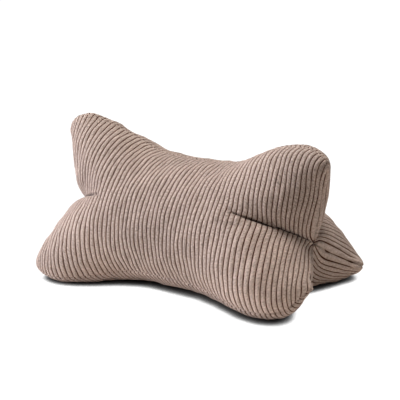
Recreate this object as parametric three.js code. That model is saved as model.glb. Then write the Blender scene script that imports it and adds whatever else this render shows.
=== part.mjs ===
import * as THREE from 'three';

// Curved reading pillow: three alike bone-shaped corduroy panels, sewn edge to edge and filled.
// Millimetres. +X runs along the pillow, the front panel leans back over -Y and +Z is up.
// The origin is the middle of the bounding box, on the surface that the pillow stands on.

// The panel as it is cut, laid flat. The cords of the corduroy run across it, edge to edge.
const CORDS = 68;
const CORD_PITCH = 6.3;
const CORD_HEIGHT = 1.3;
const HALF_LENGTH = (CORDS * CORD_PITCH) / 2;
const WAIST_HALF_WIDTH = 91.2;
const KNOB_HALF_WIDTH = 154.2;
const KNOB_HOLD = 2.43; // above 1 the waist stays narrow for longer

// At the waist the top seam lies this far towards the back, taken from one panel for the other.
const TOP_SEAM_SHIFT = 18.8;

// The middle of each end is taken in by a dart. Past the dart's mouth the end edges are seams.
const DART_TIP = 104;
const DART_MOUTH = 208;
const DART_HALF_WIDTH = 25.5;
const END_SEAM_HALF_WIDTH = 53.3;

// Six knobs, each shared by two panels: the cloth that it has more than the others, the share of
// the half length where it is widest, and the radius that rounds off the panels' corners there.
// Last, how far it is plumped by hand: towards the end, out from the middle of the pillow, and
// round it, from +Y towards +Z.
const KNOBS = [
  { seam: 'top', end: -1, extra: 7.2, at: 0.911, corner: 33.6, along: 0.5, out: 0.7, round: 2.3 },
  { seam: 'top', end: 1, extra: -1.2, at: 0.864, corner: 19.9, along: -1.4, out: -1.7, round: 3.5 },
  { seam: 'front', end: -1, extra: 2.3, at: 0.884, corner: 22.9, along: 1, out: 1.1, round: -2 },
  { seam: 'front', end: 1, extra: -27.5, at: 0.763, corner: 38, along: 1.2, out: -4.2, round: -2.7 },
  { seam: 'rear', end: -1, extra: 2, at: 0.874, corner: 25, along: 0, out: 0, round: 0 },
  { seam: 'rear', end: 1, extra: -5, at: 0.854, corner: 37.6, along: -5.4, out: 5.3, round: -2.2 },
];
const PLUMPED_FROM = 50; // distance from the middle of the length
const PLUMPED_FULLY = 170;
const PLUMPED_OFF_FLOOR = 40; // below this height a knob is moved less and less, up or down

// Where the stuffing lies thicker or thinner than the net makes it. Round each place, fading out
// to the reach, the cloth is moved out along its own facing, and along towards the nearer end.
const STUFFING = [
  { place: [-176, 4, 211], reach: 26, out: 4.8, along: 0 }, // peak of the top left knob
  { place: [-209, -7, 193], reach: 32, out: -2, along: -4.2 }, // its end
  { place: [-120, 34, 192], reach: 34, out: -4.6, along: 0 }, // its slope down to the waist
  { place: [-200, -96, 48], reach: 34, out: 3.5, along: 0.5 }, // outer side of the front left knob
  { place: [211, -2, 191], reach: 28, out: -2.5, along: -0.5 }, // end of the top right knob
  { place: [197, -40, 58], reach: 42, out: 0, along: 6.5 }, // end of the front panel, below its dart
  { place: [205, -72, 36], reach: 30, out: -3.2, along: -3.2 }, // end of the front right knob
];

// The panels in order round the pillow. A panel's + half ends in the seam of its own row,
// and its - half in the seam of the row before it. Angles are from +Y towards +Z. A dart's tip
// is sewn off the panel's middle line by the shift of its end, - and +, towards the - half.
const PANELS = [
  { panel: 'back', faces: 30, seam: 'top', dartShift: [0, 0] },
  { panel: 'front', faces: 150, seam: 'front', dartShift: [10.6, 19.4] },
  { panel: 'bottom', faces: 270, seam: 'rear', dartShift: [0, 0] },
];
const HALVES = [1, -1];
const FACE_TO_SEAM = 60;

// The two sides of a dart press on each other, so the grooves of their cords stay this far apart.
const DART_SIDES_APART = 3.6;

// The cloth as a net of threads, and the stuffing as a pressure on it
const STIFFNESS = 0.08;
const SLACK_SHARE = 0.022; // share of the stiffness left where a thread is pushed short
const BIAS_SHARE = 0.081; // share of the stiffness that the diagonals have
const PRESSURE = 4.37e-5;
const FEET_AREA = 3550; // square millimetres that would carry the weight at that pressure
const THREAD_MASS = 2.2; // mass of a point for each unit of the stiffness that meets there

// The pillow is filled with a coarse net, and settled again on its feet with the fine one.
const COARSE_NET = { cellsPerCord: 1, rows: [0, 1 / 6, 2 / 6, 3 / 6, 4 / 6, 5 / 6, 1] };
const FINE_NET = { cellsPerCord: 2, rows: [0, 0.07, 0.22, 0.41, 0.6, 0.79, 0.93, 1] };
const FILLING = { steps: 900, drag: 0.03, floatSteps: 360, press: 5 };
const SETTLING = { steps: 500, drag: 0.03, floatSteps: 0, press: 0 };

// How the three panels start, before the stuffing: three flat fins round the axis
const START_LENGTH_SHARE = 0.97;
const START_BULGE = 12;
const START_MIDDLE = 10;

const DEGREE = Math.PI / 180;
const clamp = (value, low, high) => Math.min(Math.max(value, low), high);
const mix = (a, b, share) => a + (b - a) * share;
const soft = (value) => clamp(value, 0, 1) ** 2 * (3 - 2 * clamp(value, 0, 1));
const seamOf = (panel, half) => (half > 0 ? panel : (panel + PANELS.length - 1) % PANELS.length);

// Half width of a half panel, out to its long seam, at the distance u from the middle of its length
function outerEdge(u, panel, half) {
  const distance = Math.abs(u);
  const { seam } = PANELS[seamOf(panel, half)];
  const knob = KNOBS.find((row) => row.seam === seam && row.end === (u < 0 ? -1 : 1));
  const widest = knob.at * HALF_LENGTH;
  const wave = (0.5 - 0.5 * Math.cos(Math.PI * clamp(distance / widest, 0, 1))) ** KNOB_HOLD;
  const waist = WAIST_HALF_WIDTH - (seam === 'top' ? half * TOP_SEAM_SHIFT : 0);
  const intoCorner = clamp(distance - (HALF_LENGTH - knob.corner), 0, knob.corner);
  const rounding = knob.corner - Math.sqrt(knob.corner ** 2 - intoCorner ** 2);
  return mix(waist, KNOB_HALF_WIDTH + knob.extra, wave) - rounding;
}

// Where the cloth of a half panel starts: at the middle line, the dart, or the end seam
function innerEdge(u, panel, half) {
  const distance = Math.abs(u);
  const alongDart = clamp((distance - DART_TIP) / (DART_MOUTH - DART_TIP), 0, 1);
  const pastMouth = clamp((distance - DART_MOUTH) / (HALF_LENGTH - DART_MOUTH), 0, 1);
  const [left, right] = PANELS[panel].dartShift;
  const acrossMiddle = clamp((u + DART_TIP) / (2 * DART_TIP), 0, 1);
  const shift = mix(left, right, acrossMiddle) * (1 - alongDart);
  const dart = DART_HALF_WIDTH * alongDart;
  return dart + (END_SEAM_HALF_WIDTH - DART_HALF_WIDTH) * pastMouth - half * shift;
}

// The net of one resolution. Points that two half panels share are sewn into one.
function makeNet({ cellsPerCord, rows }) {
  const lastColumn = CORDS * cellsPerCord;
  const lastRow = rows.length - 1;
  const columns = [];
  for (let i = 0; i <= lastColumn; i++) columns.push((i * CORD_PITCH) / cellsPerCord - HALF_LENGTH);
  const mouth = Math.round(((DART_MOUTH + HALF_LENGTH) * cellsPerCord) / CORD_PITCH);
  const numbers = new Map();
  const halves = [];

  function pointName(panel, half, i, j) {
    const onEnd = i === 0 || i === lastColumn;
    const onEndSeam = j === 0 && (i > mouth || i < lastColumn - mouth);
    if (j === lastRow || onEnd || onEndSeam) return `seam ${seamOf(panel, half)} ${i} ${j}`;
    if (j > 0) return `cloth ${panel} ${half} ${i} ${j}`;
    return i === mouth || i === lastColumn - mouth ? `pole ${i}` : `middle ${panel} ${i}`;
  }

  for (let panel = 0; panel < PANELS.length; panel++) {
    for (const half of HALVES) {
      const points = [];
      const across = [];
      columns.forEach((u, i) => {
        const inner = innerEdge(u, panel, half);
        const outer = outerEdge(u, panel, half);
        points.push(
          rows.map((share, j) => {
            const name = pointName(panel, half, i, j);
            if (!numbers.has(name)) numbers.set(name, numbers.size);
            return numbers.get(name);
          }),
        );
        across.push(rows.map((share) => mix(inner, outer, share)));
      });
      halves.push({ panel, half, points, across });
    }
  }
  const count = numbers.size;
  const sharers = new Uint8Array(count);
  for (const { points } of halves) for (const point of points.flat()) sharers[point] += 1;
  return { columns, rows, halves, count, sharers };
}

// Average place of each point over the half panels that share it
function gather(net, placeOf) {
  const place = new Float64Array(3 * net.count);
  net.halves.forEach((part, index) => {
    part.points.forEach((column, i) => {
      column.forEach((point, j) => {
        const at = placeOf(part, i, j, index);
        for (let axis = 0; axis < 3; axis++) place[3 * point + axis] += at[axis] / net.sharers[point];
      });
    });
  });
  return place;
}

function startShape(net) {
  return gather(net, ({ panel, half, across }, i, j) => {
    const u = net.columns[i];
    const share = net.rows[j];
    const face = PANELS[panel].faces * DEGREE;
    const seam = face + half * FACE_TO_SEAM * DEGREE;
    const outward = seam - (half * Math.PI) / 2;
    const middle = START_MIDDLE * (1 - share) * clamp(1 - Math.abs(u) / DART_MOUTH, 0, 1);
    const bulge = START_BULGE * Math.sin(Math.PI * share) + middle;
    const reach = across[i][j];
    return [
      START_LENGTH_SHARE * u,
      reach * Math.cos(seam) + bulge * Math.cos(outward),
      reach * Math.sin(seam) + bulge * Math.sin(outward),
    ];
  });
}

// A finer net is laid on the shape of a coarser one.
function refineShape(coarse, place, fine) {
  return gather(fine, (part, i, j, index) => {
    const from = coarse.halves[index];
    const lastColumn = coarse.columns.length - 1;
    const lastRow = coarse.rows.length - 1;
    const column = ((fine.columns[i] + HALF_LENGTH) / (2 * HALF_LENGTH)) * lastColumn;
    const row = fine.rows[j] * lastRow;
    const i0 = Math.min(Math.floor(column), lastColumn - 1);
    const j0 = Math.min(Math.floor(row), lastRow - 1);
    const at = (k, l, axis) => place[3 * from.points[k][l] + axis];
    return [0, 1, 2].map((axis) => {
      const low = mix(at(i0, j0, axis), at(i0, j0 + 1, axis), row - j0);
      const high = mix(at(i0 + 1, j0, axis), at(i0 + 1, j0 + 1, axis), row - j0);
      return mix(low, high, column - i0);
    });
  });
}

// Threads along the cords, across them and on both diagonals, with the cloth that each stands for
function makeThreads(net) {
  const threads = [];
  const { columns, rows } = net;
  const lastColumn = columns.length - 1;
  const lastRow = rows.length - 1;
  const step = columns[1] - columns[0];
  for (const { points, across } of net.halves) {
    const cell = (i, j) => across[i][j + 1] - across[i][j];
    const nextTo = (i, j) => ((j > 0 ? cell(i, j - 1) : 0) + (j < lastRow ? cell(i, j) : 0)) / 2;
    const add = (i, j, k, l, widthOf, share) => {
      const [from, to] = [points[i][j], points[k][l]];
      if (from === to) return;
      const length = Math.hypot(columns[k] - columns[i], across[k][l] - across[i][j]);
      const pull = (share * STIFFNESS * widthOf(length)) / length;
      threads.push({ from, to, length, pull });
    };
    for (let i = 0; i <= lastColumn; i++) {
      for (let j = 0; j <= lastRow; j++) {
        const edge = i === 0 || i === lastColumn ? 0.5 : 1;
        if (i < lastColumn) add(i, j, i + 1, j, () => (nextTo(i, j) + nextTo(i + 1, j)) / 2, 1);
        if (j < lastRow) add(i, j, i, j + 1, () => step * edge, 1);
        if (i === lastColumn || j === lastRow) continue;
        const area = (step * (cell(i, j) + cell(i + 1, j))) / 2;
        add(i, j, i + 1, j + 1, (length) => area / length, BIAS_SHARE);
        add(i, j + 1, i + 1, j, (length) => area / length, BIAS_SHARE);
      }
    }
  }
  return threads;
}

// Two triangles in each cell, facing out. No diagonal joins two seam points.
function makeTriangles(net) {
  const triangles = [];
  const sewn = (point) => net.sharers[point] > 1;
  for (const { half, points } of net.halves) {
    for (let i = 0; i + 1 < points.length; i++) {
      for (let j = 0; j + 1 < net.rows.length; j++) {
        const [a, b, c, d] = [points[i][j], points[i + 1][j], points[i + 1][j + 1], points[i][j + 1]];
        const pair = sewn(a) && sewn(c) ? [[a, b, d], [b, c, d]] : [[a, b, c], [a, c, d]];
        for (const [p, q, r] of pair) triangles.push(p, half > 0 ? r : q, half > 0 ? q : r);
      }
    }
  }
  return triangles;
}

// Adds to out, at the three points of each triangle, its area vector times scale.
function addAreaVectors(place, triangles, scale, out) {
  for (let t = 0; t < triangles.length; t += 3) {
    const [a, b, c] = [3 * triangles[t], 3 * triangles[t + 1], 3 * triangles[t + 2]];
    const [ux, uy, uz] = [place[b] - place[a], place[b + 1] - place[a + 1], place[b + 2] - place[a + 2]];
    const [vx, vy, vz] = [place[c] - place[a], place[c + 1] - place[a + 1], place[c + 2] - place[a + 2]];
    const x = (uy * vz - uz * vy) * scale;
    const y = (uz * vx - ux * vz) * scale;
    const z = (ux * vy - uy * vx) * scale;
    for (const k of [a, b, c]) {
      out[k] += x;
      out[k + 1] += y;
      out[k + 2] += z;
    }
  }
}

// The points that face each other across a dart, and the direction from one to the other
function dartSides(net) {
  const facing = [];
  for (let panel = 0; panel < PANELS.length; panel++) {
    const [upper, lower] = net.halves.filter((part) => part.panel === panel);
    const across = (PANELS[panel].faces + 90) * DEGREE;
    const [y, z] = [Math.cos(across), Math.sin(across)];
    net.columns.forEach((u, i) => {
      if (Math.abs(u) <= DART_TIP) return;
      for (let j = 1; j < net.rows.length; j++) {
        const [from, to] = [lower.points[i][j], upper.points[i][j]];
        if (net.sharers[from] === 1 && net.sharers[to] === 1) facing.push({ from, to, y, z });
      }
    });
  }
  return facing;
}

// Lets the stuffing press the cloth out, and after floatSteps lowers the pillow onto the floor.
function settle(net, place, { steps, drag, floatSteps, press }) {
  const threads = makeThreads(net);
  const triangles = makeTriangles(net);
  const facing = dartSides(net);
  const mass = new Float64Array(net.count);
  for (const { from, to, pull } of threads) {
    mass[from] += THREAD_MASS * pull;
    mass[to] += THREAD_MASS * pull;
  }
  const speed = new Float64Array(place.length);
  const force = new Float64Array(place.length);
  const lowest = () => place.reduce((low, at, k) => (k % 3 === 2 ? Math.min(low, at) : low), Infinity);
  const weight = (FEET_AREA * PRESSURE) / net.count;
  let floor = -Infinity;
  for (let step = 0; step < steps; step++) {
    force.fill(0);
    for (const { from, to, length, pull } of threads) {
      const [a, b] = [3 * from, 3 * to];
      const [x, y, z] = [place[b] - place[a], place[b + 1] - place[a + 1], place[b + 2] - place[a + 2]];
      const now = Math.hypot(x, y, z);
      const share = ((now > length ? 1 : SLACK_SHARE) * pull * (now - length)) / now;
      force[a] += share * x;
      force[a + 1] += share * y;
      force[a + 2] += share * z;
      force[b] -= share * x;
      force[b + 1] -= share * y;
      force[b + 2] -= share * z;
    }
    addAreaVectors(place, triangles, PRESSURE / 6, force);
    const standing = step >= floatSteps;
    if (standing && floor === -Infinity) floor = lowest() + press;
    for (let point = 0; point < net.count; point++) {
      if (standing) force[3 * point + 2] -= weight;
      for (let k = 3 * point; k < 3 * point + 3; k++) {
        speed[k] = (speed[k] + force[k] / mass[point]) * (1 - drag);
        place[k] += speed[k];
      }
      if (standing && place[3 * point + 2] < floor) {
        place[3 * point + 2] = floor;
        speed.fill(0, 3 * point, 3 * point + 3);
      }
    }
    for (const { from, to, y, z } of facing) {
      const [a, b] = [3 * from, 3 * to];
      const apart = y * (place[b + 1] - place[a + 1]) + z * (place[b + 2] - place[a + 2]);
      if (apart >= DART_SIDES_APART) continue;
      const push = (DART_SIDES_APART - apart) / 2;
      place[b + 1] += push * y;
      place[b + 2] += push * z;
      place[a + 1] -= push * y;
      place[a + 2] -= push * z;
    }
  }
  const drop = lowest();
  for (let k = 2; k < place.length; k += 3) place[k] -= drop;
  return place;
}

// Plumps the knobs. Each carries the cloth near it along, the more the nearer that is.
function plump(net, place) {
  const points = net.halves[0].points;
  const mouth = Math.round(((HALF_LENGTH - DART_MOUTH) / (2 * HALF_LENGTH)) * (points.length - 1));
  const [left] = points[mouth];
  const [right] = points[points.length - 1 - mouth];
  const middleY = (place[3 * left + 1] + place[3 * right + 1]) / 2;
  const middleZ = (place[3 * left + 2] + place[3 * right + 2]) / 2;
  for (let k = 0; k < place.length; k += 3) {
    const [x, y, z] = [place[k], place[k + 1] - middleY, place[k + 2] - middleZ];
    const away = Math.hypot(y, z);
    const low = soft(place[k + 2] / PLUMPED_OFF_FLOOR);
    for (const { seam, end, along, out, round } of KNOBS) {
      const row = PANELS.find((panel) => panel.seam === seam);
      const angle = (row.faces + FACE_TO_SEAM) * DEGREE;
      const [c, s] = [Math.cos(angle), Math.sin(angle)];
      const nearEnd = soft((end * x - PLUMPED_FROM) / (PLUMPED_FULLY - PLUMPED_FROM));
      const share = nearEnd * soft((y * c + z * s) / away) * soft(away / PLUMPED_OFF_FLOOR);
      place[k] += share * end * along;
      place[k + 1] += share * (out * c - round * s);
      place[k + 2] += share * (out * s + round * c) * low;
    }
  }
  return place;
}

// The direction in which the cloth faces at each point
function facings(net, place) {
  const outward = new Float64Array(place.length);
  addAreaVectors(place, makeTriangles(net), 1, outward);
  for (let k = 0; k < outward.length; k += 3) {
    const size = Math.hypot(outward[k], outward[k + 1], outward[k + 2]);
    for (let axis = 0; axis < 3; axis++) outward[k + axis] /= size;
  }
  return outward;
}

// Thickens or thins the stuffing round a few places, and keeps the cloth above the floor.
function spreadStuffing(net, place) {
  const outward = facings(net, place);
  const moved = place.slice();
  for (let k = 0; k < place.length; k += 3) {
    for (const { place: [x, y, z], reach, out, along } of STUFFING) {
      const away = Math.hypot(place[k] - x, place[k + 1] - y, place[k + 2] - z);
      const share = soft(1 - away / reach);
      for (let axis = 0; axis < 3; axis++) moved[k + axis] += share * out * outward[k + axis];
      moved[k] += share * along * Math.sign(x);
    }
    moved[k + 2] = Math.max(moved[k + 2], 0);
  }
  return moved;
}

// Raises each cord between its two grooves. The seams and the darts stay sunk between them.
function raiseCords(net, place) {
  const outward = facings(net, place);
  const lift = new Float64Array(net.count).fill(Infinity);
  const cellsPerCord = (net.columns.length - 1) / CORDS;
  for (const { points } of net.halves) {
    points.forEach((column, i) => {
      const phase = (i % cellsPerCord) / cellsPerCord;
      const round = CORD_HEIGHT * Math.sin(Math.PI * phase);
      const inDart = Math.abs(net.columns[i]) > DART_TIP;
      column.forEach((point, j) => {
        const sewn = j === net.rows.length - 1 || (j === 0 && inDart);
        lift[point] = Math.min(lift[point], sewn ? 0 : round);
      });
    });
  }
  for (let point = 0; point < net.count; point++) {
    if (lift[point] === 0) continue;
    const k = 3 * point;
    for (let axis = 0; axis < 3; axis++) place[k + axis] += lift[point] * outward[k + axis];
    place[k + 2] = Math.max(place[k + 2], 0);
  }
  return place;
}

// Moves the middle of the bounding box over the origin.
function centre(place) {
  for (const axis of [0, 1]) {
    let [low, high] = [Infinity, -Infinity];
    for (let k = axis; k < place.length; k += 3) {
      low = Math.min(low, place[k]);
      high = Math.max(high, place[k]);
    }
    for (let k = axis; k < place.length; k += 3) place[k] -= (low + high) / 2;
  }
  return place;
}

function makePillow() {
  const coarse = makeNet(COARSE_NET);
  const filled = settle(coarse, startShape(coarse), FILLING);
  const fine = makeNet(FINE_NET);
  const standing = settle(fine, refineShape(coarse, filled, fine), SETTLING);
  const stuffed = spreadStuffing(fine, centre(plump(fine, standing)));
  const place = centre(raiseCords(fine, stuffed));
  const geometry = new THREE.BufferGeometry();
  geometry.setAttribute('position', new THREE.Float32BufferAttribute(place, 3));
  geometry.setIndex(makeTriangles(fine));
  geometry.computeVertexNormals();
  const cloth = new THREE.MeshStandardMaterial({ color: 0xa08a80, roughness: 0.95, metalness: 0 });
  cloth.name = 'corduroy';
  const mesh = new THREE.Mesh(geometry, cloth);
  mesh.name = 'pillow';
  return mesh;
}

const readingPillow = new THREE.Group();
readingPillow.name = 'curved_reading_pillow';
readingPillow.add(makePillow());

export default readingPillow;
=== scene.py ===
"""Looks of the curved reading pillow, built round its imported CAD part.

The cover is worked out as the part is: three corduroy panels are sewn edge to edge as a net of
threads, filled, and lowered onto the floor. That shape is then drawn again on a much finer net,
which has room for the section of each cord, the sunk seams and the puckers at the darts. The
panels' widths, the knobs and the camera were fitted by a program to the photograph's outline.
Sizes are in millimetres until the mesh is made, in metres.
"""

import math
from collections import namedtuple

import bpy
import numpy as np
from mathutils import Matrix, Vector


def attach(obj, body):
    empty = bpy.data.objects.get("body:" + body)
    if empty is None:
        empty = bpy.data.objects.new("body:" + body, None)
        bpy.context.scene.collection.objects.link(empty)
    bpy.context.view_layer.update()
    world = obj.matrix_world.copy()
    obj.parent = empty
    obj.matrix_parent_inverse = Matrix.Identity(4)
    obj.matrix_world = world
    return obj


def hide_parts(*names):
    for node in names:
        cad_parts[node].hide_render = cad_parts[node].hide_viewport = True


MM = 0.001

# The panel as it is cut, laid flat. The cords of the corduroy run across it, edge to edge.
CORDS = 68
CORD_PITCH = 6.3
HALF_LENGTH = CORDS * CORD_PITCH / 2
WAIST_HALF_WIDTH = 91.2
KNOB_HALF_WIDTH = 154.2
KNOB_HOLD = 2.43  # above 1 the waist stays narrow for longer
TOP_SEAM_SHIFT = 18.8  # how far the top seam lies towards the back, at the waist

# The middle of each end is taken in by a dart. Past the dart's mouth the end edges are seams.
DART_TIP = 104.0
DART_MOUTH = 208.0
DART_HALF_WIDTH = 25.5
END_SEAM_HALF_WIDTH = 53.3
DART_SIDES_APART = 3.6  # the two sides press on each other, and stay this far apart

# Six knobs, each shared by two panels: the cloth that it has more than the others, the share of
# the half length where it is widest, and the radius that rounds off the panels' corners there.
# Last, how far it is plumped: towards the end, out from the middle of the pillow, and round it,
# from +Y towards +Z. The rows were fitted by a program to the photograph's outline, which doesn't
# show the rear left knob, so that its row is a guess.
Knob = namedtuple("Knob", "seam end extra at corner along out round")
KNOBS = [
    Knob("top", -1, extra=7.2, at=0.911, corner=33.6, along=0.5, out=0.7, round=2.3),
    Knob("top", 1, extra=-1.2, at=0.864, corner=19.9, along=-1.4, out=-1.7, round=3.5),
    Knob("front", -1, extra=2.3, at=0.884, corner=22.9, along=1.0, out=1.1, round=-2.0),
    Knob("front", 1, extra=-27.5, at=0.763, corner=38.0, along=1.2, out=-4.2, round=-2.7),
    Knob("rear", -1, extra=2.0, at=0.874, corner=25.0, along=0.0, out=0.0, round=0.0),
    Knob("rear", 1, extra=-5.0, at=0.854, corner=37.6, along=-5.4, out=5.3, round=-2.2),
]
PLUMPED_FROM = 50.0  # distance from the middle of the length
PLUMPED_FULLY = 170.0
PLUMPED_OFF_FLOOR = 40.0  # below this height a knob is moved less and less, up or down

# Where the stuffing lies thicker or thinner than the net makes it. Round each place, fading out
# to the reach, the cloth is moved out along its own facing, and along towards the nearer end. The
# places were chosen one by one, and the amounts against the photograph's outline, partly by a fit.
Stuffing = namedtuple("Stuffing", "place reach out along")
STUFFING = [
    Stuffing((-176, 4, 211), 26, out=4.8, along=0.0),  # peak of the top left knob
    Stuffing((-209, -7, 193), 32, out=-2.0, along=-4.2),  # its end
    Stuffing((-120, 34, 192), 34, out=-4.6, along=0.0),  # its slope down to the waist
    Stuffing((-200, -96, 48), 34, out=3.5, along=0.5),  # outer side of the front left knob
    Stuffing((211, -2, 191), 28, out=-2.5, along=-0.5),  # end of the top right knob
    Stuffing((197, -40, 58), 42, out=0.0, along=6.5),  # end of the front panel, below its dart
    Stuffing((205, -72, 36), 30, out=-3.2, along=-3.2),  # end of the front right knob
]

# The panels in order round the pillow: the angle that each faces, from +Y towards +Z, the seam at
# the end of its + half, and how far its dart tips are sewn off its middle line at the - and + end
PANELS = [
    {"name": "back", "faces": 30.0, "seam": "top", "dart_shift": (0.0, 0.0)},
    {"name": "front", "faces": 150.0, "seam": "front", "dart_shift": (10.6, 19.4)},
    {"name": "bottom", "faces": 270.0, "seam": "rear", "dart_shift": (0.0, 0.0)},
]
HALVES = (1, -1)
FACE_TO_SEAM = 60.0

# The cloth as a net of threads, and the stuffing as a pressure on it
STIFFNESS = 0.08
SLACK_SHARE = 0.022  # share of the stiffness left where a thread is pushed short
BIAS_SHARE = 0.081  # share of the stiffness that the diagonals have
PRESSURE = 4.37e-5
FEET_AREA = 3550.0  # square millimetres that would carry the weight at that pressure
THREAD_MASS = 2.2  # mass of a point for each unit of the stiffness that meets there
COARSE_ROWS = [k / 6 for k in range(7)]
FINE_ROWS = [0, 0.07, 0.22, 0.41, 0.6, 0.79, 0.93, 1]
FILLING = {"steps": 900, "drag": 0.03, "float_steps": 360, "press": 5.0}
SETTLING = {"steps": 500, "drag": 0.03, "float_steps": 0, "press": 0.0}
START_LENGTH_SHARE = 0.97
START_BULGE = 12.0
START_MIDDLE = 10.0

# The finest net: where its columns lie in a cord, and how its rows crowd towards seams and darts
CORD_PHASES = (0, 0.1, 0.25, 0.5, 0.75, 0.9)
COVER_ROWS = 40
ROW_CROWDING = 0.72

# Section of a cord, and how the cloth is drawn in at a seam and, more and more from its tip on,
# at a dart. A shoulder is the distance from the stitches at which the cloth is at full height.
CORD_HEIGHT = 1.6
CORD_SQUARENESS = 5.6  # 2 is a parabola; more is a flatter back and a narrower groove
SEAM_SINK = 0.5
SEAM_SHOULDER = 2.2
DART_SINKS = (1.6, 5.6)  # at the left and the right end
DART_SHOULDER = 3.4
DART_SHADE_LINE = 2.4  # half width of the line of painted shade along a dart's stitches
DART_DEEPENS = 25.0  # from its tip on, over this length, a dart reaches its full depth
DART_CLOSES = 26.0  # over this length before its mouth it comes up again
DART_LEFT = 0.2  # to this share of its depth

# Unevenness of the cloth and of its stuffing, as waves over the flat panels: how far each reaches,
# its lengths along the pillow and across it, and the turn by which the panels' waves differ
Wave = namedtuple("Wave", "reach along across turn")
CORDS_STRAY = [
    Wave(0.4, 92.0, 230.0, 0.4),
    Wave(0.3, 51.0, -140.0, 1.9),
    Wave(0.2, 21.0, 47.0, 4.1),
]
LUMPS = [
    Wave(0.6, 74.0, 66.0, 0.7),
    Wave(0.4, 43.0, -49.0, 2.9),
    Wave(0.22, 27.0, 24.0, 5.2),
]
CORDS_SWELL = [
    Wave(0.1, 13.7, 88.0, 1.1),
    Wave(0.08, 31.0, -37.0, 3.3),
]
UNEVEN_FROM_STITCHES = 22.0

# Puckers where the stitching gathers the cloth: each is a dent along a line over a flat panel, from
# and to places as (along the pillow, across it, towards the seam of the panel's own row). A dent
# with a negative depth is a bump.
Pucker = namedtuple("Pucker", "panel start end width depth")
PUCKERS = [
    Pucker("front", (98, -22), (106, -19), width=4.0, depth=1.6),  # start of the right dart
    Pucker("front", (86, -4), (106, -4.5), width=4.5, depth=1.0),  # crease below it
    Pucker("front", (106, -4.5), (128, 3), width=4.0, depth=0.7),  # which runs on along the dart
    Pucker("front", (110, -11), (111, -9), width=4.0, depth=-1.3),  # bump between the two
    Pucker("front", (160, -22), (203, -25), width=11.0, depth=-1.5),  # upper lip of the right dart
    Pucker("front", (160, 7), (203, 23), width=11.0, depth=-1.5),  # its lower lip
    Pucker("front", (-106, -12), (-99, -8), width=4.0, depth=0.7),  # start of the left dart
    Pucker("front", (-147, 73), (-136, 88), width=5.0, depth=-0.9),  # ridge on the front left knob
]
PUCKER_SHADE = 0.22  # what the painted crease shade is in a dent of full depth

# Painted light and shade: where the pile is painted lighter, or darker, than elsewhere, as light
# falls there: round each place on a flat panel, fading out to the reach, by a share of its colour
PaintedLight = namedtuple("PaintedLight", "panel place reach lighter")
PAINTED_LIGHT = [
    PaintedLight("front", (158, 72), reach=120, lighter=0.34),  # below the right dart
    PaintedLight("front", (180, -110), reach=75, lighter=-0.14),  # end of the top right knob
    PaintedLight("front", (-15, 15), reach=90, lighter=-0.09),  # middle
    PaintedLight("front", (-100, 60), reach=70, lighter=0.2),  # front left knob
    PaintedLight("front", (-85, -105), reach=55, lighter=0.13),  # slope from the top left knob
    PaintedLight("back", (-64, 80), reach=60, lighter=0.13),  # other side of that slope
    PaintedLight("bottom", (-75, -80), reach=70, lighter=0.25),  # under the front seam
]
PAINTED_LIGHT_ATTRIBUTE = "painted_light_share"  # attribute of the cover that holds it

# The cloth, in linear colours
PILE_COLOUR = (0.394, 0.31, 0.271, 1)
SLOPE_COLOUR = (0.38, 0.258, 0.2, 1)  # of the pile on a cord's sides, which light reaches less
# The dark ground between the cords: partly its own colour, partly painted shade down in the grooves
GROUND_AND_SHADE_COLOUR = (0.038, 0.007, 0.002, 1)
GROUND_SHADE_BEGINS = 0.7  # distance from a cord's back at which the dark ground and its painted shade begin to show, and at which they show fully; 1 is the middle of the groove
GROUND_SHADE_SHOWS = 0.93  # at which it shows fully; 1 is the middle of the groove
CREASE_SHADE_ATTRIBUTE = "crease_shade"  # attribute of the cover for painted shade in creases: 1 in the bottom of a dart, 0 away from stitches
SEAM_SHADE = 0.12  # what it is in the bottom of a seam
CREASE_SHADE_DARKENS = 0.75
PILE_ROUGHNESS = 0.95
PILE_SPECULAR = 0.1
SHEEN_WEIGHT = 0.08
SHEEN_ROUGHNESS = 0.5
SHEEN_TINT = (0.95, 0.86, 0.82, 1)
SLOPE_POWER = 3.0  # how late, from a cord's back to its groove, the slope colour comes in

# Unevenness of the pile, as noise: the size of a blob along the pillow and across it, in
# millimetres, the noise's detail, and the share of the colour by which it makes it lighter
Unevenness = namedtuple("Unevenness", "along across detail lighter")
TUFTS = Unevenness(2.8, 2.2, detail=2.0, lighter=0.4)
STRANDS = Unevenness(1.1, 4.5, detail=2.0, lighter=0.16)
LAY = Unevenness(CORD_PITCH, 28, detail=1.0, lighter=0.07)
WEAR = Unevenness(70, 70, detail=1.0, lighter=0.03)
PAINTED_LIGHT_SHOWS = 1.0  # share of the painted light attribute that shows
TUFTS_RAGGED = 0.09  # by which the tufts move the edge of the ground
BUMP_STRENGTH = 0.5
BUMP_DISTANCE = 0.5

# The photograph's camera, about the middle of the pillow, in degrees and millimetres. The focal
# length and where the middle lies are in pixels of the 400 x 400 photograph.
PHOTO_SIZE = 400
CAMERA_AZIMUTH = 36.527
CAMERA_ELEVATION = 19.753
CAMERA_ROLL = -3.725
CAMERA_DISTANCE = 1267.0
CAMERA_TARGET = (0.0, 0.0, 90.0)
FOCAL_PIXELS = 928.4
TARGET_PIXEL = (194.10, 216.32)
SENSOR_WIDTH = 36.0
NEAREST_SEEN = 0.05  # metres
FARTHEST_SEEN = 100


def clamp(value, low, high):
    return np.minimum(np.maximum(value, low), high)


def smooth_step(value):
    t = clamp(value, 0.0, 1.0)
    return t * t * (3 - 2 * t)


def seam_of(panel, half):
    """Row in PANELS whose seam the half panel ends in."""
    return panel if half > 0 else (panel - 1) % len(PANELS)


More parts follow.
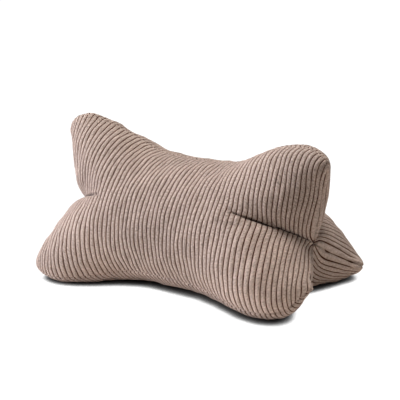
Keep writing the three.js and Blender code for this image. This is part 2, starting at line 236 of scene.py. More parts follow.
def outer_edge(u, panel, half):
    """Half width of a half panel, out to its long seam, at the distance u from its middle."""
    distance = np.abs(u)
    seam = PANELS[seam_of(panel, half)]["seam"]
    left, right = [knob for knob in KNOBS if knob.seam == seam]
    extra = np.where(u < 0, left.extra, right.extra)
    widest = np.where(u < 0, left.at, right.at) * HALF_LENGTH
    corner = np.where(u < 0, left.corner, right.corner)
    wave = (0.5 - 0.5 * np.cos(math.pi * clamp(distance / widest, 0, 1))) ** KNOB_HOLD
    waist = WAIST_HALF_WIDTH - (half * TOP_SEAM_SHIFT if seam == "top" else 0)
    into_corner = clamp(distance - (HALF_LENGTH - corner), 0, corner)
    rounding = corner - np.sqrt(corner**2 - into_corner**2)
    return waist + (KNOB_HALF_WIDTH + extra - waist) * wave - rounding


def inner_edge(u, panel, half):
    """Where the cloth of a half panel starts: at the middle line, the dart, or the end seam."""
    distance = np.abs(u)
    along_dart = clamp((distance - DART_TIP) / (DART_MOUTH - DART_TIP), 0, 1)
    past_mouth = clamp((distance - DART_MOUTH) / (HALF_LENGTH - DART_MOUTH), 0, 1)
    left, right = PANELS[panel]["dart_shift"]
    shift = left + (right - left) * clamp((u + DART_TIP) / (2 * DART_TIP), 0, 1)
    dart = DART_HALF_WIDTH * along_dart
    past = (END_SEAM_HALF_WIDTH - DART_HALF_WIDTH) * past_mouth
    return dart + past - half * shift * (1 - along_dart)


def even_columns(cells_per_cord):
    cells = CORDS * cells_per_cord
    return np.arange(cells + 1) * CORD_PITCH / cells_per_cord - HALF_LENGTH


def point_name(panel, half, i, j, last_column, last_row, mouth):
    """Points of two half panels that have the same name are sewn into one."""
    past_mouth = i > mouth or i < last_column - mouth
    if j == last_row or i in (0, last_column) or (j == 0 and past_mouth):
        return ("seam", seam_of(panel, half), i, j)
    if j > 0:
        return ("cloth", panel, half, i, j)
    if i in (mouth, last_column - mouth):
        return ("pole", i)
    return ("middle", panel, i)


def make_net(columns, rows):
    """The six half panels on one set of columns and rows, each with its points' numbers."""
    rows = np.asarray(rows, float)
    last_column = len(columns) - 1
    last_row = len(rows) - 1
    mouth = int(np.argmin(np.abs(columns - DART_MOUTH)))
    numbers = {}
    halves = []
    for panel in range(len(PANELS)):
        for half in HALVES:
            points = np.empty((len(columns), len(rows)), int)
            for i in range(len(columns)):
                for j in range(len(rows)):
                    name = point_name(panel, half, i, j, last_column, last_row, mouth)
                    points[i, j] = numbers.setdefault(name, len(numbers))
            inner = inner_edge(columns, panel, half)[:, None]
            outer = outer_edge(columns, panel, half)[:, None]
            across = inner + (outer - inner) * rows
            halves.append({"panel": panel, "half": half, "points": points, "across": across})
    count = len(numbers)
    every = np.concatenate([part["points"].ravel() for part in halves])
    sharers = np.bincount(every, minlength=count)
    return {
        "columns": columns,
        "rows": rows,
        "mouth": mouth,
        "halves": halves,
        "count": count,
        "sharers": sharers,
    }


def gather(net, places):
    """Average place of each point over the half panels that share it."""
    place = np.zeros((net["count"], 3))
    for part, own in zip(net["halves"], places):
        np.add.at(place, part["points"].ravel(), own.reshape(-1, 3))
    return place / net["sharers"][:, None]


def start_shape(net):
    """Three flat fins round the axis."""
    u = net["columns"][:, None]
    share = net["rows"][None, :]
    places = []
    for part in net["halves"]:
        seam = math.radians(PANELS[part["panel"]]["faces"] + part["half"] * FACE_TO_SEAM)
        outward = seam - part["half"] * math.pi / 2
        middle = START_MIDDLE * (1 - share) * clamp(1 - np.abs(u) / DART_MOUTH, 0, 1)
        bulge = START_BULGE * np.sin(math.pi * share) + middle
        y = part["across"] * math.cos(seam) + bulge * math.cos(outward)
        z = part["across"] * math.sin(seam) + bulge * math.sin(outward)
        x = np.broadcast_to(START_LENGTH_SHARE * u, y.shape)
        places.append(np.stack([x, y, z], axis=2))
    return gather(net, places)


def straight_weights(at, knots):
    """Matrix that reads values given at the knots at other places, along straight lines."""
    at = np.asarray(at, float)
    low = clamp(np.searchsorted(knots, at, side="right") - 1, 0, len(knots) - 2)
    share = (at - knots[low]) / (knots[low + 1] - knots[low])
    weights = np.zeros((len(at), len(knots)))
    index = np.arange(len(at))
    weights[index, low] = 1 - share
    weights[index, low + 1] += share
    return weights


def spline_weights(at, knots):
    """Matrix that reads values given at the knots at other places, along a natural cubic spline."""
    at = np.asarray(at, float)
    knots = np.asarray(knots, float)
    gap = np.diff(knots)
    size = len(knots)
    bends = np.eye(size)
    slopes = np.zeros((size, size))
    for k in range(1, size - 1):
        bends[k, k - 1 : k + 2] = (gap[k - 1], 2 * (gap[k - 1] + gap[k]), gap[k])
        slopes[k, k - 1 : k + 2] = (6 / gap[k - 1], -6 / gap[k - 1] - 6 / gap[k], 6 / gap[k])
    second = np.linalg.solve(bends, slopes)
    low = clamp(np.searchsorted(knots, at, side="right") - 1, 0, size - 2)
    h = gap[low][:, None]
    b = ((at - knots[low]) / gap[low])[:, None]
    a = 1 - b
    values = np.eye(size)
    bent = (a**3 - a) * second[low] + (b**3 - b) * second[low + 1]
    return a * values[low] + b * values[low + 1] + bent * h**2 / 6


def refine_shape(coarse, place, fine):
    """Lays a finer net on the shape of a coarser one."""
    across = straight_weights(fine["rows"], coarse["rows"])
    along = straight_weights(fine["columns"], coarse["columns"])
    places = []
    for part in coarse["halves"]:
        places.append(np.einsum("ik,klc,jl->ijc", along, place[part["points"]], across))
    return gather(fine, places)


def make_threads(net):
    """Threads along the cords, across them and on both diagonals: ends, length and pull."""
    columns = net["columns"]
    step = columns[1] - columns[0]
    found = []
    for part in net["halves"]:
        points = part["points"]
        across = part["across"]
        cell = np.diff(across, axis=1)
        beside = np.zeros_like(across)
        beside[:, :-1] += cell / 2
        beside[:, 1:] += cell / 2
        edge = np.ones(len(columns))
        edge[[0, -1]] = 0.5
        area = step * (cell[:-1] + cell[1:]) / 2

        def add(start, end, width, share):
            """start and end are (rows of columns, rows of rows); width is None for a diagonal."""
            (i, j), (k, m) = start, end
            reach = across[k, m] - across[i, j]
            length = np.hypot((columns[k] - columns[i])[:, None], reach)
            stands_for = area / length if width is None else width
            pull = share * STIFFNESS * stands_for / length
            ends = (points[i, j], points[k, m])
            found.append([x.ravel() for x in (*ends, length, pull)])

        every = slice(None)
        first = slice(None, -1)
        later = slice(1, None)
        add((first, every), (later, every), (beside[:-1] + beside[1:]) / 2, 1)
        add((every, first), (every, later), (step * edge)[:, None], 1)
        add((first, first), (later, later), None, BIAS_SHARE)
        add((first, later), (later, first), None, BIAS_SHARE)
    start, end, length, pull = (np.concatenate(x) for x in zip(*found))
    real = start != end
    return start[real], end[real], length[real], pull[real]


def make_faces(net):
    """Two triangles in each cell, facing out, with the half panel that each belongs to."""
    sewn = net["sharers"] > 1
    faces = []
    for part in net["halves"]:
        points = part["points"]
        a = points[:-1, :-1].ravel()
        b = points[1:, :-1].ravel()
        c = points[1:, 1:].ravel()
        d = points[:-1, 1:].ravel()
        other = sewn[a] & sewn[c]
        first = np.stack([a, b, np.where(other, d, c)], axis=1)
        second = np.stack([np.where(other, b, a), c, d], axis=1)
        own = np.stack([first, second], axis=1).reshape(-1, 3)
        faces.append(own[:, ::-1] if part["half"] > 0 else own)
    return faces


def area_vectors(place, triangles):
    """Sum at each point of the area vectors of the triangles that meet there, times two."""
    a, b, c = place[triangles[:, 0]], place[triangles[:, 1]], place[triangles[:, 2]]
    vectors = np.cross(b - a, c - a)
    total = np.empty_like(place)
    for axis in range(3):
        weights = np.repeat(vectors[:, axis], 3)
        total[:, axis] = np.bincount(triangles.ravel(), weights, minlength=len(place))
    return total


def dart_sides(net):
    """The points that face each other across a dart, and the direction from one to the other."""
    found = []
    for panel, row in enumerate(PANELS):
        upper, lower = [part for part in net["halves"] if part["panel"] == panel]
        across = math.radians(row["faces"] + 90)
        in_dart = np.abs(net["columns"]) > DART_TIP
        start = lower["points"][in_dart, 1:].ravel()
        end = upper["points"][in_dart, 1:].ravel()
        free = (net["sharers"][start] == 1) & (net["sharers"][end] == 1)
        direction = np.array([0.0, math.cos(across), math.sin(across)])
        found.append((start[free], end[free], np.tile(direction, (free.sum(), 1))))
    return [np.concatenate(x) for x in zip(*found)]


def settle(net, place, steps, drag, float_steps, press):
    """Lets the stuffing press the cloth out, and after float_steps lowers it onto the floor."""
    start, end, length, pull = make_threads(net)
    triangles = np.concatenate(make_faces(net))
    dart_start, dart_end, dart_across = dart_sides(net)
    count = net["count"]
    ends = np.concatenate([start, end])
    mass = THREAD_MASS * np.bincount(ends, np.concatenate([pull, pull]), minlength=count)
    weight = FEET_AREA * PRESSURE / count
    place = place.copy()
    speed = np.zeros_like(place)
    floor = -np.inf
    for step in range(steps):
        reach = place[end] - place[start]
        now = np.sqrt((reach**2).sum(axis=1))
        stiff = np.where(now > length, 1.0, SLACK_SHARE)
        drawn = reach * (stiff * pull * (now - length) / np.maximum(now, 1e-9))[:, None]
        force = area_vectors(place, triangles) * (PRESSURE / 6)
        for axis in range(3):
            both = np.concatenate([drawn[:, axis], -drawn[:, axis]])
            force[:, axis] += np.bincount(ends, both, minlength=count)
        standing = step >= float_steps
        if standing and floor == -np.inf:
            floor = place[:, 2].min() + press
        if standing:
            force[:, 2] -= weight
        speed = (speed + force / mass[:, None]) * (1 - drag)
        place += speed
        if standing:
            under = place[:, 2] < floor
            place[under, 2] = floor
            speed[under] = 0
        apart = ((place[dart_end] - place[dart_start]) * dart_across).sum(axis=1)
        push = np.maximum(DART_SIDES_APART - apart, 0)[:, None] / 2 * dart_across
        place[dart_end] += push
        place[dart_start] -= push
    place[:, 2] -= place[:, 2].min()
    return place


def plump(net, place):
    """Plumps the knobs. Each carries the cloth near it along, the more the nearer that is."""
    poles = net["halves"][0]["points"][[net["mouth"], -1 - net["mouth"]], 0]
    middle = place[poles, 1:].mean(axis=0)
    from_middle = place[:, 1:] - middle
    away = np.hypot(*from_middle.T)
    low = smooth_step(place[:, 2] / PLUMPED_OFF_FLOOR)
    off_axis = smooth_step(away / PLUMPED_OFF_FLOOR)
    moved = place.copy()
    for knob in KNOBS:
        faces = next(row["faces"] for row in PANELS if row["seam"] == knob.seam)
        angle = math.radians(faces + FACE_TO_SEAM)
        out = np.array([math.cos(angle), math.sin(angle)])
        past = knob.end * place[:, 0] - PLUMPED_FROM
        near_end = smooth_step(past / (PLUMPED_FULLY - PLUMPED_FROM))
        share = near_end * smooth_step(from_middle @ out / away) * off_axis
        moved[:, 0] += share * knob.end * knob.along
        moved[:, 1] += share * (knob.out * out[0] - knob.round * out[1])
        moved[:, 2] += share * (knob.out * out[1] + knob.round * out[0]) * low
    return moved


def outward_directions(net, place):
    outward = area_vectors(place, np.concatenate(make_faces(net)))
    return outward / np.linalg.norm(outward, axis=1)[:, None]


def spread_stuffing(net, place):
    """Thickens or thins the stuffing round a few places, and keeps the cloth above the floor."""
    outward = outward_directions(net, place)
    moved = place.copy()
    for row in STUFFING:
        share = smooth_step(1 - np.linalg.norm(place - np.array(row.place), axis=1) / row.reach)
        moved += (row.out * share)[:, None] * outward
        moved[:, 0] += row.along * share * np.sign(row.place[0])
    moved[:, 2] = np.maximum(moved[:, 2], 0)
    return moved


def centre(place):
    """Moves the middle of the bounding box over the origin."""
    moved = place.copy()
    moved[:, :2] -= (place[:, :2].min(axis=0) + place[:, :2].max(axis=0)) / 2
    return moved


def cover_net():
    """The finest net, with columns at the same places in every cord."""
    columns = [(cord + phase) * CORD_PITCH for cord in range(CORDS) for phase in CORD_PHASES]
    t = np.arange(COVER_ROWS + 1) / COVER_ROWS
    rows = t - ROW_CROWDING * np.sin(2 * math.pi * t) / (2 * math.pi)
    return make_net(np.array(columns + [CORDS * CORD_PITCH]) - HALF_LENGTH, rows)


def cover_base(fine, place, cover):
    """The settled shape on the finest net, smooth across a panel except where a dart is sewn."""
    along = spline_weights(cover["columns"], fine["columns"])
    half_rows = spline_weights(cover["rows"], fine["rows"])
    both_knots = np.concatenate([-fine["rows"][:0:-1], fine["rows"]])
    both_rows = spline_weights(cover["rows"], both_knots)
    in_dart = smooth_step((np.abs(fine["columns"]) - DART_TIP) / CORD_PITCH)[:, None, None]
    places = []
    for part in fine["halves"]:
        other = next(
            p
            for p in fine["halves"]
            if p["panel"] == part["panel"] and p["half"] != part["half"]
        )
        own = place[part["points"]]
        mirrored = place[other["points"]][:, :0:-1]
        whole = np.concatenate([mirrored, own], axis=1)
        smooth = np.einsum("jl,klc->kjc", both_rows, whole)
        creased = np.einsum("jl,klc->kjc", half_rows, own)
        crossed = smooth + (creased - smooth) * in_dart
        places.append(np.einsum("ik,kjc->ijc", along, crossed))
    return gather(cover, places)


def stitch_distances(cover, part):
    """Distances over the cloth from each point of a half panel to its nearest seam and its dart."""
    u = cover["columns"]
    tiny = 1e-3
    half, panel = part["half"], part["panel"]
    inside = clamp(u, -HALF_LENGTH + tiny, HALF_LENGTH - tiny)
    beyond = outer_edge(inside + tiny, panel, half)
    before = outer_edge(inside - tiny, panel, half)
    rise = (beyond - before) / (2 * tiny)
    outer = outer_edge(u, panel, half)
    inner = inner_edge(u, panel, half)
    long_seam = (outer[:, None] - part["across"]) / np.sqrt(1 + rise**2)[:, None]
    end_seam = np.broadcast_to((HALF_LENGTH - np.abs(u))[:, None], long_seam.shape)
    before_dart = np.maximum(DART_TIP - np.abs(u), 0)[:, None]
    dart = np.hypot(part["across"] - inner[:, None], before_dart)
    return np.minimum(long_seam, end_seam), dart


def waves(rows, cover, part):
    """Sum of waves at each point of a half panel."""
    u = cover["columns"][:, None]
    v = part["half"] * part["across"]
    total = np.zeros_like(v)
    for wave in rows:
        angle = 2 * math.pi * (u / wave.along + v / wave.across) + wave.turn * (part["panel"] + 1)
        total += wave.reach * np.sin(angle)
    return total


def pucker_depths(cover, part):
    """How far the puckers press in each point of a half panel."""
    u = cover["columns"][:, None]
    v = part["half"] * part["across"]
    total = np.zeros_like(v)
    for row in PUCKERS:
        if row.panel != PANELS[part["panel"]]["name"]:
            continue
        (u0, v0), (u1, v1) = row.start, row.end
        share = ((u - u0) * (u1 - u0) + (v - v0) * (v1 - v0)) / ((u1 - u0) ** 2 + (v1 - v0) ** 2)
        share = clamp(share, 0.0, 1.0)
        away = np.hypot(u - u0 - share * (u1 - u0), v - v0 - share * (v1 - v0))
        total += row.depth * smooth_step(1 - away / row.width)
    return total


def make_uneven(cover, base):
    """Lets the cords stray along the pillow and the stuffing lump, less near the stitches."""
    outward = outward_directions(cover, base)
    places = []
    for part in cover["halves"]:
        own = base[part["points"]]
        free = smooth_step(np.minimum(*stitch_distances(cover, part)) / UNEVEN_FROM_STITCHES)
        along = np.gradient(own, axis=0)
        along /= np.linalg.norm(along, axis=2)[:, :, None]
        stray = waves(CORDS_STRAY, cover, part) * free
        lump = waves(LUMPS, cover, part) * free - pucker_depths(cover, part)
        moved = along * stray[:, :, None] + outward[part["points"]] * lump[:, :, None]
        places.append(own + moved)
    return gather(cover, places)


def cord_section(phase):
    """Height of a cord over its groove, as a share, from 0 at one groove to 1 at the next."""
    return 1 - np.abs(2 * phase - 1) ** CORD_SQUARENESS


def raise_cords(cover, base):
    """Raises each cord from its groove, and sinks the seams and the darts between them. It also
    works out the painted shade in the creases of the seams, darts and puckers.
    """
    outward = outward_directions(cover, base)
    phase = np.mod((cover["columns"] + HALF_LENGTH) / CORD_PITCH, 1.0)
    height = CORD_HEIGHT * cord_section(phase)
    distance = np.abs(cover["columns"])
    closing = (1 - DART_LEFT) * smooth_step((distance - DART_MOUTH + DART_CLOSES) / DART_CLOSES)
    closed = DART_LEFT * smooth_step((distance - DART_MOUTH) / (HALF_LENGTH - DART_MOUTH))
    deepening = smooth_step((distance - DART_TIP) / DART_DEEPENS)
    into_dart = deepening - closing - closed
    sink = into_dart * np.where(cover["columns"] < 0, *DART_SINKS)
    # Along each dart, a line of painted shade over its stitches
    line = deepening * (1 - smooth_step((distance - DART_MOUTH) / CORD_PITCH))
    lift = np.full(cover["count"], np.inf)
    crease_shade = np.zeros(cover["count"])
    for part in cover["halves"]:
        seam, dart = stitch_distances(cover, part)
        at_seam = 1 - smooth_step(seam / SEAM_SHOULDER)
        at_dart = 1 - smooth_step(dart / DART_SHOULDER)
        own = height[:, None] * (1 - at_seam) * (1 - at_dart)
        own *= 1 + waves(CORDS_SWELL, cover, part)
        own -= SEAM_SINK * np.maximum(at_seam, at_dart) + at_dart * sink[:, None]
        np.minimum.at(lift, part["points"].ravel(), own.ravel())
        # Painted shade where shade falls in the seams, the darts and the puckers
        painted_shade = np.maximum(SEAM_SHADE * at_seam, at_dart * sink[:, None] / max(DART_SINKS))
        painted_shade = np.maximum(painted_shade, (1 - smooth_step(dart / DART_SHADE_LINE)) * line[:, None])
        painted_shade = np.maximum(painted_shade, PUCKER_SHADE * pucker_depths(cover, part))
        np.maximum.at(crease_shade, part["points"].ravel(), painted_shade.ravel())
    place = base + outward * lift[:, None]
    place[:, 2] = np.maximum(place[:, 2], 0)
    return place, crease_shade


def painted_light_on_cover(cover):
    """How much lighter, or darker, the pile is painted at each point of the cover: painted light
    and shade.
    """
    u = cover["columns"][:, None]
    total = np.zeros(cover["count"])
    for part in cover["halves"]:
        v = part["half"] * part["across"]
        own = np.zeros_like(v)
        for row in PAINTED_LIGHT:
            if row.panel == PANELS[part["panel"]]["name"]:
                away = np.hypot(u - row.place[0], v - row.place[1])
                own += row.lighter * smooth_step(1 - away / row.reach)
        np.add.at(total, part["points"].ravel(), own.ravel())
    return total / cover["sharers"]


def make_pillow_shape():
    coarse = make_net(even_columns(1), COARSE_ROWS)
    filled = settle(coarse, start_shape(coarse), **FILLING)
    fine = make_net(even_columns(2), FINE_ROWS)
    standing = settle(fine, refine_shape(coarse, filled, fine), **SETTLING)
    stuffed = spread_stuffing(fine, centre(plump(fine, standing)))
    cover = cover_net()
    base = make_uneven(cover, cover_base(fine, stuffed, cover))
    place, crease_shade = raise_cords(cover, base)
    return cover, centre(place), crease_shade


# The flat panels lie one over another in the cover's own map, each with this much room
MAP_NAME = "OFBake"
MAP_MARGIN = 0.01
MAP_HALF_WIDTH = 162.0


def map_places(cover):
    """Where each point of each half panel lies in the map."""
    u = (cover["columns"] / HALF_LENGTH + 1) / 2
    for part in cover["halves"]:
        v = (part["half"] * part["across"] / MAP_HALF_WIDTH + 1) / 2
        x = np.broadcast_to((MAP_MARGIN + (1 - 2 * MAP_MARGIN) * u)[:, None], v.shape)
        y = (part["panel"] + MAP_MARGIN + (1 - 2 * MAP_MARGIN) * v) / len(PANELS)
        yield part, np.stack([x, y], axis=2)


def build_cover(material):
    cover, place, crease_shade = make_pillow_shape()
    faces = make_faces(cover)
    mesh = bpy.data.meshes.new("pillow_cover")
    triangles = np.concatenate(faces)
    mesh.from_pydata((place * MM).tolist(), [], triangles.tolist())
    corners = []
    for (part, spots), own in zip(map_places(cover), faces):
        table = np.zeros((cover["count"], 2))
        table[part["points"].ravel()] = spots.reshape(-1, 2)
        corners.append(table[own.ravel()])
    layer = mesh.uv_layers.new(name=MAP_NAME)
    layer.uv.foreach_set("vector", np.concatenate(corners).astype(np.float32).ravel())
    for name, values in ((CREASE_SHADE_ATTRIBUTE, crease_shade), (PAINTED_LIGHT_ATTRIBUTE, painted_light_on_cover(cover))):
        layer = mesh.attributes.new(name, "FLOAT", "POINT")
        layer.data.foreach_set("value", values.astype(np.float32))
    mesh.polygons.foreach_set("use_smooth", [True] * len(mesh.polygons))
    mesh.materials.append(material)
    mesh.update()
    obj = bpy.data.objects.new("pillow_cover", mesh)
    bpy.context.scene.collection.objects.link(obj)
    return obj


def new_material(name):
    material = bpy.data.materials.new(name)
    material.use_nodes = True
    tree = material.node_tree
    return material, tree, tree.nodes["Principled BSDF"]


class Recipe:
    """Short names for the nodes of one material."""

    def __init__(self, tree):
        self.nodes = tree.nodes
        self.link = tree.links.new

    def feed(self, socket, value):
        if isinstance(value, bpy.types.NodeSocket):
            self.link(value, socket)
        elif value is not None:
            socket.default_value = value

    def math(self, operation, a, b=None):
        node = self.nodes.new("ShaderNodeMath")
        node.operation = operation
        self.feed(node.inputs[0], a)
        self.feed(node.inputs[1], b)
        return node.outputs[0]

    def attribute(self, name):
        node = self.nodes.new("ShaderNodeAttribute")
        node.attribute_name = name
        return node.outputs["Fac"]

    def scaled(self, vector, scale):
        node = self.nodes.new("ShaderNodeVectorMath")
        node.operation = "MULTIPLY"
        self.feed(node.inputs[0], vector)
        self.feed(node.inputs[1], scale)
        return node.outputs[0]

    def noise(self, vector, detail):
        """Noise about 0, mostly between -1 and 1, with one blob to each unit of the vector."""
        node = self.nodes.new("ShaderNodeTexNoise")
        node.inputs["Scale"].default_value = 1.0
        node.inputs["Detail"].default_value = detail
        self.feed(node.inputs["Vector"], vector)
        return self.math("MULTIPLY", self.math("SUBTRACT", node.outputs["Fac"], 0.5), 4.0)

    def unevenness(self, place, kind):
        return self.noise(self.scaled(place, (1 / kind.along, 1 / kind.across, 0)), kind.detail)

    def rise(self, value, low, high):
        """Smooth step from 0 at low to 1 at high."""
        node = self.nodes.new("ShaderNodeMapRange")
        node.interpolation_type = "SMOOTHSTEP"
        self.feed(node.inputs["Value"], value)
        node.inputs["From Min"].default_value = low
        node.inputs["From Max"].default_value = high
        return node.outputs["Result"]

    def blend(self, share, a, b):
        node = self.nodes.new("ShaderNodeMix")
        node.data_type = "RGBA"
        self.feed(node.inputs["Factor"], share)
        self.feed(node.inputs["A"], a)
        self.feed(node.inputs["B"], b)
        return node.outputs["Result"]

    def total(self, *terms):
        """Sum of (value, weight) pairs, on top of 1."""
        result = 1.0
        for value, weight in terms:
            result = self.math("ADD", self.math("MULTIPLY", value, weight), result)
        return result


def corduroy():
    """Cut pile in cords: pale tufted backs with painted shade on their slopes, a dark ground
    between them that is partly its own colour and partly painted shade, painted shade in the
    creases, painted light and shade over the panels, and an uneven lay.
    """
    material, tree, shader = new_material("corduroy")
    shader.inputs["Roughness"].default_value = PILE_ROUGHNESS
    shader.inputs["Sheen Weight"].default_value = SHEEN_WEIGHT
    shader.inputs["Sheen Roughness"].default_value = SHEEN_ROUGHNESS
    shader.inputs["Sheen Tint"].default_value = SHEEN_TINT
    shader.inputs["Specular IOR Level"].default_value = PILE_SPECULAR
    cloth = Recipe(tree)
    flat = cloth.nodes.new("ShaderNodeUVMap")
    flat.uv_map = MAP_NAME
    span = 1 - 2 * MAP_MARGIN
    length = 2 * HALF_LENGTH / span
    width = 2 * MAP_HALF_WIDTH * len(PANELS) / span
    place = cloth.scaled(flat.outputs["UV"], (length, width, 0))
    apart = cloth.nodes.new("ShaderNodeSeparateXYZ")
    cloth.link(place, apart.inputs[0])
    start = MAP_MARGIN * length
    cord = cloth.math("DIVIDE", cloth.math("SUBTRACT", apart.outputs["X"], start), CORD_PITCH)
    phase = cloth.math("FRACT", cord)
    from_back = cloth.math("ABSOLUTE", cloth.math("SUBTRACT", cloth.math("MULTIPLY", phase, 2), 1))
    kinds = (TUFTS, STRANDS, LAY, WEAR)
    tufts, strands, lay, wear = (cloth.unevenness(place, kind) for kind in kinds)
    ragged = cloth.math("ADD", from_back, cloth.math("MULTIPLY", tufts, TUFTS_RAGGED))
    ground_and_shade = cloth.rise(ragged, GROUND_SHADE_BEGINS, GROUND_SHADE_SHOWS)
    pile = cloth.blend(cloth.math("POWER", from_back, SLOPE_POWER), PILE_COLOUR, SLOPE_COLOUR)
    colour = cloth.blend(ground_and_shade, pile, GROUND_AND_SHADE_COLOUR)
    # Painted shade in the creases, and painted light and shade over the panels, from the cover's
    # attributes
    crease_shade, painted_light_share = (cloth.attribute(name) for name in (CREASE_SHADE_ATTRIBUTE, PAINTED_LIGHT_ATTRIBUTE))
    uneven_and_painted_light = cloth.total(
        (tufts, TUFTS.lighter),
        (strands, STRANDS.lighter),
        (lay, LAY.lighter),
        (wear, WEAR.lighter),
        (painted_light_share, PAINTED_LIGHT_SHOWS),
    )
    # darkens the colour by the painted crease shade
    shaded = cloth.total((crease_shade, -CREASE_SHADE_DARKENS))
    scale = cloth.nodes.new("ShaderNodeVectorMath")
    scale.operation = "SCALE"
    cloth.link(colour, scale.inputs[0])
    cloth.link(cloth.math("MULTIPLY", uneven_and_painted_light, shaded), scale.inputs["Scale"])
    cloth.link(scale.outputs[0], shader.inputs["Base Color"])
    bump = cloth.nodes.new("ShaderNodeBump")
    bump.inputs["Strength"].default_value = BUMP_STRENGTH
    bump.inputs["Distance"].default_value = BUMP_DISTANCE * MM
    cloth.link(cloth.math("ADD", tufts, strands), bump.inputs["Height"])
    cloth.link(bump.outputs["Normal"], shader.inputs["Normal"])
    return material


WORLD_STRENGTH = 0.05  # of the sky, to all but the camera, which sees it as white as the floor
FLOOR_COLOUR = (0.92, 0.86, 0.8, 1)
FLOOR_ROUGHNESS = 0.9
FLOOR_SPECULAR = 0.1
FLOOR_HALF_WIDTH = 20.0  # metres
FLOOR_WHITENED = 0.96  # share of the glow in what the camera sees of the floor
FLOOR_GLOW = 1.1
SHADE_REACH = 0.018  # metres: nothing that is farther from the floor than this shades its glow
OVEREXPOSED = 2.1  # only what is well shaded is less than white
SHADE_DEPTH = 4.5  # power by which the shade is deepened


def build_stage():
    """A plain pale floor that is whitened, except right at the pillow, where a shadow is painted
    into its glow.
    """
    material, tree, shader = new_material("stage_floor")
    shader.inputs["Base Color"].default_value = FLOOR_COLOUR
    shader.inputs["Roughness"].default_value = FLOOR_ROUGHNESS
    shader.inputs["Specular IOR Level"].default_value = FLOOR_SPECULAR
    recipe = Recipe(tree)
    # Painted shadow: the glow is darkened where the pillow closes off the open sky
    open_sky = recipe.nodes.new("ShaderNodeAmbientOcclusion")
    open_sky.inputs["Distance"].default_value = SHADE_REACH
    lit = recipe.math("MULTIPLY", open_sky.outputs["AO"], OVEREXPOSED)
    shade = recipe.math("POWER", lit, SHADE_DEPTH)
    shade.node.use_clamp = True
    glow = recipe.nodes.new("ShaderNodeEmission")
    recipe.link(recipe.math("MULTIPLY", shade, FLOOR_GLOW), glow.inputs["Strength"])
    seen = recipe.nodes.new("ShaderNodeLightPath").outputs["Is Camera Ray"]
    both = recipe.nodes.new("ShaderNodeMixShader")
    recipe.link(recipe.math("MULTIPLY", seen, FLOOR_WHITENED), both.inputs["Fac"])
    recipe.link(shader.outputs[0], both.inputs[1])
    recipe.link(glow.outputs[0], both.inputs[2])
    recipe.link(both.outputs[0], recipe.nodes["Material Output"].inputs["Surface"])
    half = FLOOR_HALF_WIDTH
    mesh = bpy.data.meshes.new("floor")
    corners = [(-half, -half, 0), (half, -half, 0), (half, half, 0), (-half, half, 0)]
    mesh.from_pydata(corners, [], [(0, 1, 2, 3)])
    mesh.materials.append(material)
    floor = bpy.data.objects.new("floor", mesh)
    bpy.context.scene.collection.objects.link(floor)
    world = bpy.data.worlds.new("studio")
    world.use_nodes = True
    background = world.node_tree.nodes["Background"]
    background.inputs["Color"].default_value = (1, 1, 1, 1)
    sky = Recipe(world.node_tree)
    seen = sky.nodes.new("ShaderNodeLightPath").outputs["Is Camera Ray"]
    strength = sky.math("MAXIMUM", sky.math("MULTIPLY", seen, FLOOR_GLOW), WORLD_STRENGTH)
    sky.link(strength, background.inputs["Strength"])
    bpy.context.scene.world = world
    bpy.context.scene.view_settings.view_transform = "Standard"


# Lamps: where each stands and its size, in metres, its power, in watts, and its colour
Lamp = namedtuple("Lamp", "name stands size power colour")
LAMPS = [
    Lamp("side", (-2.0, -1.2, 0.6), size=0.8, power=66.0, colour=(0.94, 0.97, 1.07)),
    Lamp("overhead", (0.0, 0.1, 2.4), size=1.2, power=62.0, colour=(1.0, 0.98, 0.94)),
    Lamp("right", (2.0, -0.8, 1.2), size=1.0, power=3.0, colour=(1.0, 0.96, 0.9)),
    Lamp("rim", (0.2, 2.2, 1.6), size=1.0, power=6.0, colour=(1.0, 0.98, 0.94)),
]


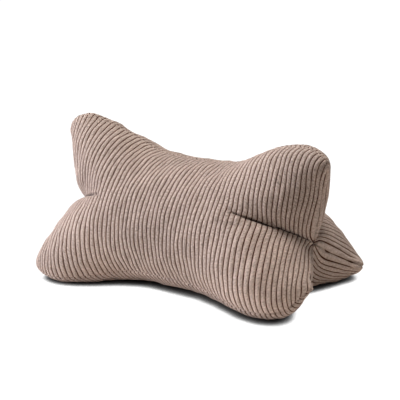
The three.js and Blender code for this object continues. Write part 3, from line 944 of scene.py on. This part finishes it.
def build_lamps():
    for row in LAMPS:
        lamp = bpy.data.lights.new(row.name, "AREA")
        lamp.shape = "DISK"
        lamp.size = row.size
        lamp.energy = row.power
        lamp.color = row.colour
        obj = bpy.data.objects.new(row.name, lamp)
        obj.location = row.stands
        aim = Vector(CAMERA_TARGET) * MM - Vector(row.stands)
        obj.rotation_mode = "QUATERNION"
        obj.rotation_quaternion = aim.to_track_quat("-Z", "Y")
        bpy.context.scene.collection.objects.link(obj)


def build_camera():
    """The photograph's view. The camera is turned until its target lies where it does there."""
    azimuth = math.radians(CAMERA_AZIMUTH)
    elevation = math.radians(CAMERA_ELEVATION)
    roll = math.radians(CAMERA_ROLL)
    level = math.cos(elevation)
    back = Vector((math.sin(azimuth) * level, -math.cos(azimuth) * level, math.sin(elevation)))
    right = Vector((math.cos(azimuth), math.sin(azimuth), 0))
    up = back.cross(right)
    right = right * math.cos(roll) + up * math.sin(roll)
    up = back.cross(right)
    aside = (TARGET_PIXEL[0] - PHOTO_SIZE / 2) / FOCAL_PIXELS
    below = (TARGET_PIXEL[1] - PHOTO_SIZE / 2) / FOCAL_PIXELS
    axis = Vector((aside, -below, -1)).normalized()
    data = bpy.data.cameras.new("camera")
    data.sensor_width = SENSOR_WIDTH
    data.lens = FOCAL_PIXELS / PHOTO_SIZE * SENSOR_WIDTH
    data.clip_start = NEAREST_SEEN
    data.clip_end = FARTHEST_SEEN
    camera = bpy.data.objects.new("camera", data)
    turned = Matrix((right, up, back)).transposed()
    swing = axis.rotation_difference(Vector((0, 0, -1))).to_matrix()
    place = (Vector(CAMERA_TARGET) + back * CAMERA_DISTANCE) * MM
    camera.matrix_world = Matrix.Translation(place) @ (turned @ swing).to_4x4()
    bpy.context.scene.collection.objects.link(camera)
    bpy.context.scene.camera = camera


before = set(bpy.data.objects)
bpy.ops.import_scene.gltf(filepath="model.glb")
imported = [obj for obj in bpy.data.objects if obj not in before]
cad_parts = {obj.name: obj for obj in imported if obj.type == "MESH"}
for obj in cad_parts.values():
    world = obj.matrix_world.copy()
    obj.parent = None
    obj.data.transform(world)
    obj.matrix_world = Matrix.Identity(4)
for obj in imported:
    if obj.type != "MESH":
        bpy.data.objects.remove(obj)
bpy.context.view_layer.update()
build_camera()
pillow = build_cover(corduroy())
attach(pillow, "root")
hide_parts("pillow")
build_stage()
build_lamps()
